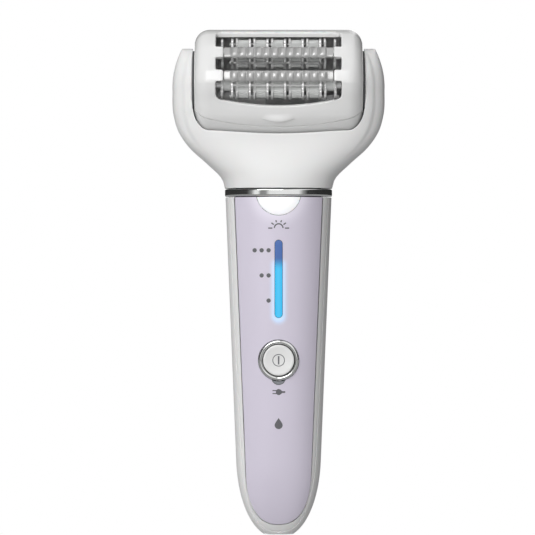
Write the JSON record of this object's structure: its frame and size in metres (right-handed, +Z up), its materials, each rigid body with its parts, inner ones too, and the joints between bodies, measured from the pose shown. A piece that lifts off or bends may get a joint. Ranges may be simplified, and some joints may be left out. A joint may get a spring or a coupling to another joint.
{
  "type": "epilator",
  "caption": "Cordless epilator with a tapering handle, two-armed neck, tilting barrel head with slotted cover, twin tweezer rotors, push button and light bar.",
  "frame": {"origin": "centre of the charging inlet's rim at the foot of the handle, under the middle of the box", "axes": "+Z up the handle to the head, front with the button towards -Y, +X to the right in the front view"},
  "size_m": [0.0716, 0.039, 0.1702],
  "materials": {
    "white_plastic": "satin white moulding",
    "lavender_panel": "pearl lavender lacquer",
    "chrome": "bright chrome plating",
    "window": "milky white lens",
    "light_guide": "clear light guide, lit blue",
    "grey_lens": "smoked lens",
    "silver_plastic": "silver-grey moulding",
    "steel": "stainless",
    "brass": "machined",
    "gear_plastic": "natural acetal",
    "black_plastic": "moulded black",
    "grey_rubber": "soft seal",
    "board_green": "solder mask",
    "cell_wrap": "shrink wrap"
  },
  "bodies": {
    "handle": {"rear_shell": "white_plastic", "front_shell": "white_plastic", "front_panel": "lavender_panel", "chrome_collar": "chrome", "collar_seal": "grey_rubber", "light_window": "window", "speed_light_bar": "light_guide", "charge_lamp_lens": "grey_lens", "lamp_led": "window", "charge_led": "window", "speed_led_1": "window", "speed_led_2": "window", "speed_led_3": "window", "button_ring": "chrome", "button_seal": "grey_rubber", "tact_switch": "black_plastic", "main_board": "board_green", "inner_frame": "black_plastic", "battery_cell": "cell_wrap", "battery_tab_top": "steel", "battery_tab_bottom": "steel", "frame_screw_lower": "steel", "frame_screw_upper": "steel", "inlet_socket": "black_plastic", "inlet_pin_left": "steel", "inlet_pin_right": "steel", "neck_front": "white_plastic", "neck_rear": "white_plastic", "neck_screw_left": "steel", "neck_screw_right": "steel", "pivot_bush_left": "gear_plastic", "pivot_bush_right": "gear_plastic", "motor_lead": "black_plastic"},
    "button": {"power_button": "white_plastic"},
    "head": {"head_base": "white_plastic", "pivot_pin_left": "steel", "pivot_pin_right": "steel", "chassis_left": "silver_plastic", "chassis_right": "silver_plastic", "motor_case": "steel", "gear_pin": "steel"},
    "cover": {"head_cover": "white_plastic", "guard_bar_upper": "silver_plastic", "guard_bar_lower": "silver_plastic"},
    "rear_rotor": {"rotor_rear": "steel", "rotor_gear_rear": "gear_plastic"},
    "front_rotor": {"rotor_front": "steel", "rotor_gear_front": "gear_plastic"},
    "rear_comb": {"tweezer_comb_rear": "steel"},
    "front_comb": {"tweezer_comb_front": "steel"},
    "middle_gear": {"centre_gear": "gear_plastic"},
    "motor_gear": {"motor_pinion": "brass"}
  },
  "joints": [
    {"name": "head_tilt", "type": "hinge", "parent": "handle", "child": "head", "pos_m": [0, 0, 0.1507], "axis": [1, 0, 0], "range_deg": [-90, 0]},
    {"name": "cover_lift", "type": "slide", "parent": "head", "child": "cover", "axis": [0, -0.8434, 0.5373], "range_m": [0, 0.025]},
    {"name": "button_press", "type": "slide", "parent": "handle", "child": "button", "axis": [0, 1, 0], "range_m": [0, 0.0008], "stiffness_N_per_m": 500, "springref_m": -0.0008},
    {"name": "rear_rotor_spin", "type": "hinge", "parent": "head", "child": "rear_rotor", "pos_m": [0, -0.00544, 0.16184], "axis": [1, 0, 0], "continuous": true},
    {"name": "front_rotor_spin", "type": "hinge", "parent": "head", "child": "front_rotor", "pos_m": [0, -0.0124, 0.1507], "axis": [1, 0, 0], "continuous": true},
    {"name": "middle_gear_spin", "type": "hinge", "parent": "head", "child": "middle_gear", "pos_m": [0, 0, 0.1507], "axis": [1, 0, 0], "continuous": true},
    {"name": "motor_spin", "type": "hinge", "parent": "head", "child": "motor_gear", "pos_m": [0, 0.00851, 0.14538], "axis": [1, 0, 0], "continuous": true},
    {"name": "rear_comb_close", "type": "slide", "parent": "rear_rotor", "child": "rear_comb", "axis": [1, 0, 0], "range_m": [0, 0.0005], "stiffness_N_per_m": 600, "springref_m": -0.0003},
    {"name": "front_comb_close", "type": "slide", "parent": "front_rotor", "child": "front_comb", "axis": [1, 0, 0], "range_m": [0, 0.0005], "stiffness_N_per_m": 600, "springref_m": -0.0003}
  ],
  "couplings": [
    {"joint": "front_rotor_spin", "follows": "rear_rotor_spin", "ratio": 1},
    {"joint": "middle_gear_spin", "follows": "rear_rotor_spin", "ratio": -0.61538},
    {"joint": "motor_spin", "follows": "rear_rotor_spin", "ratio": 2}
  ]
}
